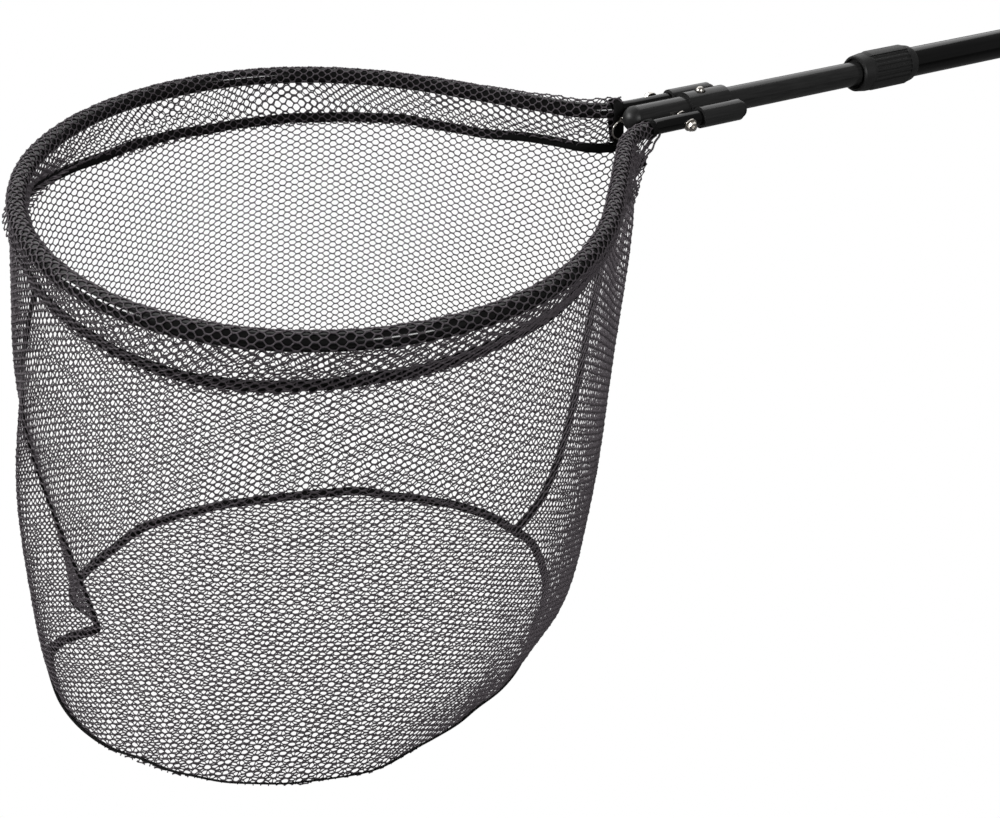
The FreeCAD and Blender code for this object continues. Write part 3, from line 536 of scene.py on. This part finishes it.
def knit_floor(name):
    """The floor's mesh: the same lattice laid flat and cut to the bag's outline."""
    columns, rows = round(FLOOR_CUT_SIZE[0] / CELL_ALONG), round(FLOOR_CUT_SIZE[1] / CELL_DOWN)
    ends, is_bar = lattice(columns, rows, False)
    x = FLOOR_CUT[0] + ends[:, [0, 2]] * CELL_ALONG
    y = FLOOR_CUT[1] + ends[:, [1, 3]] * CELL_DOWN
    angle = np.mod(np.arctan2(y, x - BAG_X), TAU)
    reach = np.hypot(y, x - BAG_X)
    edge = radius_at(angle, np.full_like(angle, BAG_DEPTH)) + 1 * MM
    inside = reach < edge
    keep = inside.any(axis=1)
    trimmed = np.minimum(reach, edge)
    x = BAG_X + trimmed * np.cos(angle)
    y = trimmed * np.sin(angle)
    flat = np.stack([x, y, floor_height(x, y)], axis=-1)[keep]
    flat = shaken(flat.reshape(-1, 3), UNEVEN).reshape(-1, 2, 3)
    radii = np.where(is_bar, BAR, YARN)[keep]
    return strands(name, flat[:, 0], flat[:, 1], radii)


def ribbon(name, line, outward, down, wide, closed):
    """A woven tape swept along a line: a flat band with rounded, slightly beaded edges.

    line is its middle, outward the direction its face looks, and down runs across it.
    """
    corner = [(-0.5, 0.25), (-0.47, 0.5), (-0.25, 0.56), (0, 0.6), (0.25, 0.56), (0.47, 0.5), (0.5, 0.25),
              (0.5, -0.25), (0.47, -0.5), (0, -0.5), (-0.47, -0.5), (-0.5, -0.25)]
    bead = 1 + 0.012 * np.sin(np.arange(len(line)) * 2.4)
    points = np.stack([line + down * (wide * a * bead)[:, None] + outward * TAPE_THICK * b
                       for a, b in corner], axis=1)
    count, around = points.shape[:2]
    quads = []
    for i in range(count if closed else count - 1):
        nxt = (i + 1) % count
        for k in range(around):
            other = (k + 1) % around
            quads.append([i * around + k, i * around + other, nxt * around + other, nxt * around + k])
    if not closed:
        quads.append(list(range(around)))
        quads.append([(count - 1) * around + k for k in reversed(range(around))])
    return mesh_object(name, points.reshape(-1, 3).tolist(), quads)


def outward_of(ring):
    """Level directions square to a ring, pointing out of the bag."""
    run = np.roll(ring, -1, axis=0) - np.roll(ring, 1, axis=0)
    out = np.stack([run[:, 1], -run[:, 0], 0 * run[:, 0]], axis=1)
    return out / np.linalg.norm(out, axis=1)[:, None]


def ring_tape(name, depth, inset, waves, wide=TAPE_WIDE, tilt=0.0):
    """A tape sewn round the bag at a depth, just inside the mesh, tilted from upright."""
    ring = section(depth, RING_POINTS)[:-1]
    out = outward_of(ring)
    share = np.linspace(0, TAU, len(ring), endpoint=False)
    lift = waves * (np.sin(7 * share + 0.6) + 0.6 * np.sin(13 * share + 2) + 0.4 * np.sin(29 * share))
    ring = ring - out * inset + np.stack([0 * lift, 0 * lift, lift], axis=1)
    below = np.array([0, 0, -1.0])
    face = out * math.cos(tilt) + below * math.sin(tilt)
    across = below * math.cos(tilt) - out * math.sin(tilt)
    return ribbon(name, ring, face, across, wide, closed=True)


def handle_line(share):
    """The handle-side tape's angle: nearly straight down, then it swings aside at its foot."""
    swing, power = HANDLE_SWING
    return swing * share ** power


def wall_tape(name, angle_at, top, bottom, inset, wide=TAPE_WIDE):
    """A tape sewn down the wall. angle_at gives its angle round the bag from the share of the way down."""
    depths = np.linspace(top, bottom, LINE_POINTS)
    share = (depths - top) / (bottom - top)
    angles = angle_at(share)
    radius = radius_at(angles, depths) - inset
    line = np.stack([BAG_X + radius * np.cos(angles), radius * np.sin(angles), -depths], axis=1)
    run = np.gradient(line, axis=0)
    run /= np.linalg.norm(run, axis=1)[:, None]
    spoke = np.stack([np.cos(angles), np.sin(angles), 0 * angles], axis=1)
    across = np.cross(run, spoke)
    across /= np.linalg.norm(across, axis=1)[:, None]
    face = np.cross(across, run)
    return ribbon(name, line, face, across, wide, closed=False)


def edge_tape(name, distance):
    """The tape bound round one end of the sleeve, with both its tails down the edge of the band."""
    line, outward = hoop_frame(np.array([distance]))
    profile = rim_profile(TUBE_RADIUS + 2 * YARN + TAPE_THICK, outside=2.6 * MM, inside=3.0 * MM)
    profile = profile[profile[:, 1] > -TAPE_TOP - 2 * MM]
    path = line[0] + outward[0] * profile[:, :1] + np.array([0, 0, 1.0]) * profile[:, 1:]
    path[:, 0] += TAIL_SWING * np.clip(-profile[:, 1] / TAPE_TOP, 0, 1)
    slope = np.gradient(profile, axis=0)
    slope /= np.linalg.norm(slope, axis=1)[:, None]
    face = outward[0] * slope[:, 1:] - np.array([0, 0, 1.0]) * slope[:, :1]
    across = np.tile(np.cross(outward[0], [0, 0, 1.0]), (len(path), 1))
    return ribbon(name, path, face, across, EDGE_WIDE, closed=False)


def edge_wrap(name, distance):
    """The short tape wrapped once round the hoop under the mesh, with no tails."""
    line, outward = hoop_frame(np.array([distance]))
    turn = np.linspace(0, TAU, 49)[:-1, None]
    face = outward[0] * np.cos(turn) + np.array([0, 0, 1.0]) * np.sin(turn)
    path = line[0] + face * (TUBE_RADIUS + 0.7 * TAPE_THICK)
    across = np.tile(np.cross(outward[0], [0, 0, 1.0]), (len(path), 1))
    return ribbon(name, path, face, across, NEAR_EDGE_WIDE, closed=True)


# ---------------------------------------------------------------- materials
def new_material(name, colour, roughness):
    """A material with its node tree and its shader."""
    material = bpy.data.materials.new(name)
    material.use_nodes = True
    nodes = material.node_tree.nodes
    shader = nodes["Principled BSDF"]
    shader.inputs["Base Color"].default_value = (*colour, 1)
    shader.inputs["Roughness"].default_value = roughness
    return material, material.node_tree, shader


def add(tree, kind, **settings):
    """A new node. Each setting goes to the socket of that name, or else to the node itself."""
    node = tree.nodes.new(kind)
    for key, value in settings.items():
        if key in node.inputs:
            node.inputs[key].default_value = value
        else:
            setattr(node, key, value)
    return node


def noise(tree, scale, stretch):
    """Noise on the piece's own coordinates, in metres, stretched by axis."""
    where = add(tree, "ShaderNodeTexCoord")
    mapping = add(tree, "ShaderNodeMapping")
    mapping.inputs["Scale"].default_value = stretch
    tree.links.new(where.outputs["Object"], mapping.inputs["Vector"])
    texture = add(tree, "ShaderNodeTexNoise", Scale=scale, Detail=4.0)
    tree.links.new(mapping.outputs["Vector"], texture.inputs["Vector"])
    return texture.outputs["Fac"]


def ramp(tree, source, low, high, start=0.35, end=0.65):
    """Maps a texture to colours between low and high."""
    node = add(tree, "ShaderNodeValToRGB")
    node.color_ramp.elements[0].position = start
    node.color_ramp.elements[1].position = end
    node.color_ramp.elements[0].color = (*low, 1)
    node.color_ramp.elements[1].color = (*high, 1)
    tree.links.new(source, node.inputs["Fac"])
    return node.outputs["Color"]


def spread(tree, source, low, high):
    """Maps a texture from 0..1 to numbers between low and high."""
    node = add(tree, "ShaderNodeMapRange")
    node.inputs["To Min"].default_value = low
    node.inputs["To Max"].default_value = high
    tree.links.new(source, node.inputs["Value"])
    return node.outputs["Result"]


def bump(tree, shader, source, strength, distance):
    """Gives a shader relief from a texture."""
    node = add(tree, "ShaderNodeBump", Strength=strength, Distance=distance)
    tree.links.new(source, node.inputs["Height"])
    tree.links.new(node.outputs["Normal"], shader.inputs["Normal"])


def finish(name, colours, roughness, scale, depth, stretch=(1, 1, 1), **sockets):
    """A finish with its own grain: colour, roughness and relief all follow one noise."""
    material, tree, shader = new_material(name, colours[0], roughness[0])
    grain = noise(tree, scale, stretch)
    tree.links.new(ramp(tree, grain, *colours), shader.inputs["Base Color"])
    tree.links.new(spread(tree, grain, *roughness), shader.inputs["Roughness"])
    bump(tree, shader, grain, strength=0.35, distance=depth)
    for socket, value in sockets.items():
        shader.inputs[socket.replace("_", " ")].default_value = value
    return material


def grey(value):
    """A neutral colour."""
    return (value, value, value)


def woven(name):
    """Woven polyester tape: fine ribs in its colour, roughness and relief."""
    material, tree, shader = new_material(name, grey(0.006), 0.75)
    where = add(tree, "ShaderNodeAttribute", attribute_name="weave")
    ribs = add(tree, "ShaderNodeTexWave", Scale=1.0, Distortion=0.6)
    tree.links.new(where.outputs["Vector"], ribs.inputs["Vector"])
    colour = ramp(tree, ribs.outputs["Fac"], grey(0.003), grey(0.011), 0.1, 0.9)
    tree.links.new(colour, shader.inputs["Base Color"])
    tree.links.new(spread(tree, ribs.outputs["Fac"], 0.85, 0.6), shader.inputs["Roughness"])
    bump(tree, shader, ribs.outputs["Fac"], strength=0.5, distance=0.25 * MM)
    shader.inputs["Specular IOR Level"].default_value = 0.12
    return material


DULL = {"Specular_IOR_Level": 0.22}
MATERIALS = {
    "gloss_tube": finish("gloss_tube", (grey(0.002), grey(0.004)), (0.12, 0.18), 420, 0.015 * MM,
                         (0.04, 1, 1), Specular_IOR_Level=0.36),
    "anodised": finish("anodised", (grey(0.018), grey(0.027)), (0.15, 0.22), 700, 0.03 * MM, (0.08, 1, 1),
                       Specular_IOR_Level=0.4),
    "moulded": finish("moulded", (grey(0.010), grey(0.016)), (0.38, 0.5), 900, 0.03 * MM,
                      Specular_IOR_Level=0.35),
    "collar": finish("collar", (grey(0.014), grey(0.022)), (0.40, 0.52), 1100, 0.04 * MM,
                     Specular_IOR_Level=0.35),
    "rubber": finish("rubber", (grey(0.009), grey(0.014)), (0.7, 0.85), 1300, 0.04 * MM, **DULL),
    "foam": finish("foam", (grey(0.010), grey(0.018)), (0.85, 0.95), 1500, 0.16 * MM, **DULL),
    "nickel": finish("nickel", ((0.56, 0.53, 0.49), (0.72, 0.69, 0.64)), (0.22, 0.36), 500,
                     0.02 * MM, Metallic=1.0),
    "spring_steel": finish("spring_steel", (grey(0.4), grey(0.5)), (0.3, 0.4), 500,
                           0.02 * MM, Metallic=1.0),
    "netting": finish("netting", ((0.064, 0.055, 0.062), (0.112, 0.097, 0.109)), (0.5, 0.68), 900,
                      0.06 * MM, Specular_IOR_Level=0.3),
    "webbing": woven("webbing"),
}


def weave_coordinates(thing):
    """Stores where each point of a tape is, enlarged, for the woven ribs to follow."""
    mesh = thing.data
    points = np.empty(len(mesh.vertices) * 3, np.float32)
    mesh.vertices.foreach_get("co", points)
    points = points.reshape(-1, 3) * WEAVE_SCALE
    attribute = mesh.attributes.new("weave", "FLOAT_VECTOR", "POINT")
    attribute.data.foreach_set("vector", points.ravel())


def dress(thing, slot_name):
    """Gives a new piece its finish and its slot, and has it ride on the hoop's body."""
    thing.data.materials.clear()
    thing.data.materials.append(MATERIALS[slot_name])
    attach(thing, HOOP_BODY)
    return thing


for part in frame["record"]["subparts"]:
    node = frame["nodes"][part["node"]]
    for slot in node.material_slots:
        slot.material = MATERIALS[part["material_slot"]]

# ---------------------------------------------------------------- the bag
wall = wall_sheet()
rim = rim_sheet()
wall_net = dress(knit("wall_netting", wall, True), "netting")
rim_net = dress(knit("rim_netting", rim, False), "netting")
floor_net = dress(knit_floor("floor_netting"), "netting")
gusset = gusset_sheet()
gusset_net = dress(knit_gusset("throat_netting", gusset, rim), "netting")
edge_tapes = [edge_tape("far_edge_tape", SLEEVE_START + EDGE_WIDE / 2),
              edge_wrap("near_edge_tape", HOOP_LENGTH - SLEEVE_START - NEAR_EDGE_WIDE / 2)]

TAPE_INSET = 1.4 * MM  # how far the middle of a tape lies inside the mesh
seam_tape = ring_tape("seam_tape", TAPE_TOP + TAPE_WIDE / 2, TAPE_INSET, waves=0.7 * MM)
floor_tape = ring_tape("floor_tape", BAG_DEPTH, inset=-0.4 * MM, waves=1.0 * MM,
                       wide=FLOOR_TAPE_WIDE, tilt=FLOOR_TAPE_TILT)
tape_run = (TAPE_TOP + 6 * MM, BAG_DEPTH + 2 * MM)
handle_tape = wall_tape("handle_side_tape", handle_line, *tape_run, TAPE_INSET)
end_tape = wall_tape("far_end_tape", fold_line, *tape_run, TAPE_INSET, FAR_TAPE_WIDE)
TAPES = {"seam_tape_ring": seam_tape, "floor_seam_tape": floor_tape,
         "handle_side_seam_tape": handle_tape, "far_end_seam_tape": end_tape}
for tape in list(TAPES.values()) + edge_tapes:
    weave_coordinates(tape)
    dress(tape, "webbing")
for node_name, tape in TAPES.items():
    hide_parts(node_name)
for tape in edge_tapes:
    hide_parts("throat_edge_tape")
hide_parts("netting_wall")
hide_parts("netting_band", "hoop_netting_sleeve")
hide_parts("netting_floor")


wall_size, rim_size = wall.size(), rim.size()


# ---------------------------------------------------------------- stage, light and camera
def shown_as(tree, seen, lit, output, inlet):
    """Shows one shader to the camera, and another to everything the light bounces off."""
    path = add(tree, "ShaderNodeLightPath")
    mix = add(tree, "ShaderNodeMixShader")
    tree.links.new(path.outputs["Is Camera Ray"], mix.inputs["Fac"])
    tree.links.new(lit, mix.inputs[1])
    tree.links.new(seen, mix.inputs[2])
    tree.links.new(mix.outputs["Shader"], output.inputs[inlet])


# The floor and the room are dim for the light that falls on the net, and white for the camera.
DIM = 0.16
STAGE_DROP = 0.35  # how far the floor lies below the bag
STAGE_HALF = 14.0
stage_level = CAD_BOX[0][2] - STAGE_DROP
stage_corners = [[x * STAGE_HALF, y * STAGE_HALF, stage_level]
                 for x, y in ((-1, -1), (1, -1), (1, 1), (-1, 1))]
stage = mesh_object("stage_floor", stage_corners, [[0, 1, 2, 3]], smooth=False)
stage_material, tree, shader = new_material("stage_paint", (DIM, DIM, DIM), 0.9)
glow = add(tree, "ShaderNodeEmission", Strength=1.0)
shown_as(tree, glow.outputs[0], shader.outputs[0], tree.nodes["Material Output"], "Surface")
stage.data.materials.append(stage_material)

world = bpy.data.worlds.new("studio")
bpy.context.scene.world = world
world.use_nodes = True
tree = world.node_tree
room = tree.nodes["Background"]
room.inputs["Color"].default_value = (1, 1, 1, 1)
room.inputs["Strength"].default_value = DIM
white = add(tree, "ShaderNodeBackground", Strength=1.0)
white.inputs["Color"].default_value = (1, 1, 1, 1)
shown_as(tree, white.outputs[0], room.outputs[0], tree.nodes["World Output"], "Surface")
bpy.context.scene.view_settings.view_transform = "Standard"


def set_frame(thing, right, up, back, spot):
    """Places a lamp or camera by its own three axes and its spot."""
    matrix = Matrix.Identity(4)
    for k in range(3):
        matrix[k][0], matrix[k][1], matrix[k][2], matrix[k][3] = right[k], up[k], back[k], spot[k]
    thing.matrix_world = matrix


LIGHT_AIM = np.array([BAG_X, 0, -0.1])  # inside the bag, in its upper part


def soft_light(name, direction, distance, size, power):
    """A softbox that faces the bag from a distance."""
    data = bpy.data.lights.new(name, "AREA")
    data.shape = "RECTANGLE"
    data.size, data.size_y = size
    data.energy = power
    lamp = bpy.data.objects.new(name, data)
    bpy.context.scene.collection.objects.link(lamp)
    away = np.array(direction) / np.linalg.norm(direction)
    spot = LIGHT_AIM + away * distance
    right = np.cross(-away, [0, 0, 1.0])
    right /= np.linalg.norm(right)
    up = np.cross(right, -away)
    set_frame(lamp, right, up, away, spot)


soft_light("backdrop", direction=(0.30, 0.95, 0.75), distance=2.7, size=(5.0, 3.2), power=60)
soft_light("left_back", direction=(-0.80, 0.37, 0.48), distance=2.4, size=(1.1, 0.45), power=50)
soft_light("front", direction=(0.03, -0.86, 0.50), distance=2.6, size=(0.9, 0.45), power=26)

CAMERA_PLACE = (-1.3193, -0.7996, 0.4075)
HEADING, DIP, ROLL = (math.radians(angle) for angle in (57.656, 34.200, 2.681))
LENS = 49.57  # mm, on a sensor 36 mm wide


def place_camera(thing):
    """Points the camera: a level heading from +X, a dip below level, and a roll about its view."""
    ahead = np.array([math.cos(DIP) * math.cos(HEADING), math.cos(DIP) * math.sin(HEADING), -math.sin(DIP)])
    level = np.array([math.sin(HEADING), -math.cos(HEADING), 0])
    upright = np.cross(level, ahead)
    right = math.cos(ROLL) * level + math.sin(ROLL) * upright
    up = math.cos(ROLL) * upright - math.sin(ROLL) * level
    set_frame(thing, right, up, -ahead, CAMERA_PLACE)


camera_data = bpy.data.cameras.new("camera")
camera_data.sensor_width = 36.0
camera_data.lens = LENS
camera_data.clip_end = 60.0
camera = bpy.data.objects.new("camera", camera_data)
bpy.context.scene.collection.objects.link(camera)
bpy.context.scene.camera = camera
place_camera(camera)
